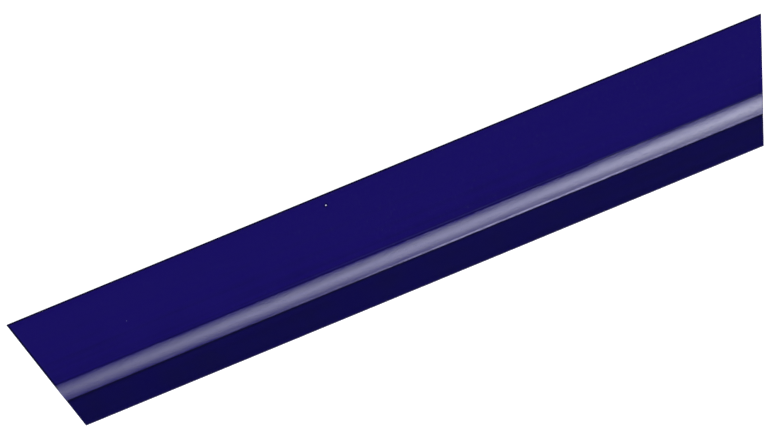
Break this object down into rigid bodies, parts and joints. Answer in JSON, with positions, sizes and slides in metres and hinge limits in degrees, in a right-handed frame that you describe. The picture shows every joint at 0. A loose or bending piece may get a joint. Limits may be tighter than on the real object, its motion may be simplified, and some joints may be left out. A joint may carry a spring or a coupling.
{
  "type": "squeegee applicator",
  "caption": "Slim hand squeegee for laying vinyl film: a long two-part holder with angled ends clamps a replaceable tapered blade.",
  "frame": {"origin": "middle of the footprint's bounding box, on the flat back face", "axes": "+X along the blade, +Y from the working edge to the spine, +Z out of the front face"},
  "size_m": [0.3298, 0.05, 0.012],
  "materials": {
    "holder_blue": "dark blue moulded plastic, satin gloss, fine streaks along the length",
    "blade_blue": "darker blue cast polyurethane, satin",
    "bar_metal": "extruded aluminium flat",
    "insert_brass": "turned brass",
    "screw_steel": "stainless steel, cold formed",
    "dowel_steel": "ground steel"
  },
  "bodies": {
    "holder": {"front_shell": "holder_blue", "spine_bar": "bar_metal", "dowel_left": "dowel_steel", "dowel_right": "dowel_steel", "insert_1": "insert_brass", "insert_2": "insert_brass", "insert_3": "insert_brass", "insert_4": "insert_brass", "insert_5": "insert_brass"},
    "blade": {"blade": "blade_blue"},
    "back_jaw": {"back_jaw": "holder_blue", "washer_1": "screw_steel", "washer_2": "screw_steel", "washer_3": "screw_steel", "washer_4": "screw_steel", "washer_5": "screw_steel"},
    "clamp_screw_1": {"clamp_screw_1": "screw_steel"},
    "clamp_screw_2": {"clamp_screw_2": "screw_steel"},
    "clamp_screw_3": {"clamp_screw_3": "screw_steel"},
    "clamp_screw_4": {"clamp_screw_4": "screw_steel"},
    "clamp_screw_5": {"clamp_screw_5": "screw_steel"}
  },
  "joints": [
    {"name": "blade_slide", "type": "slide", "parent": "holder", "child": "blade", "axis": [1, 0, 0], "range_m": [0, 0.3]},
    {"name": "jaw_open", "type": "slide", "parent": "holder", "child": "back_jaw", "axis": [0, 0, -1], "range_m": [0, 0.0014]},
    {"name": "clamp_screw_1_turn", "type": "hinge", "parent": "back_jaw", "child": "clamp_screw_1", "pos_m": [-0.13572, 0.00645, 0], "axis": [0, 0, -1], "range_deg": [0, 720]},
    {"name": "clamp_screw_2_turn", "type": "hinge", "parent": "back_jaw", "child": "clamp_screw_2", "pos_m": [-0.06833, 0.00645, 0], "axis": [0, 0, -1], "range_deg": [0, 720]},
    {"name": "clamp_screw_3_turn", "type": "hinge", "parent": "back_jaw", "child": "clamp_screw_3", "pos_m": [-0.00094, 0.00645, 0], "axis": [0, 0, -1], "range_deg": [0, 720]},
    {"name": "clamp_screw_4_turn", "type": "hinge", "parent": "back_jaw", "child": "clamp_screw_4", "pos_m": [0.06645, 0.00645, 0], "axis": [0, 0, -1], "range_deg": [0, 720]},
    {"name": "clamp_screw_5_turn", "type": "hinge", "parent": "back_jaw", "child": "clamp_screw_5", "pos_m": [0.13384, 0.00645, 0], "axis": [0, 0, -1], "range_deg": [0, 720]}
  ],
  "couplings": [
    {"joint": "clamp_screw_1_turn", "follows": "jaw_open", "rad_per_m": 8975.9},
    {"joint": "clamp_screw_2_turn", "follows": "jaw_open", "rad_per_m": 8975.9},
    {"joint": "clamp_screw_3_turn", "follows": "jaw_open", "rad_per_m": 8975.9},
    {"joint": "clamp_screw_4_turn", "follows": "jaw_open", "rad_per_m": 8975.9},
    {"joint": "clamp_screw_5_turn", "follows": "jaw_open", "rad_per_m": 8975.9}
  ]
}
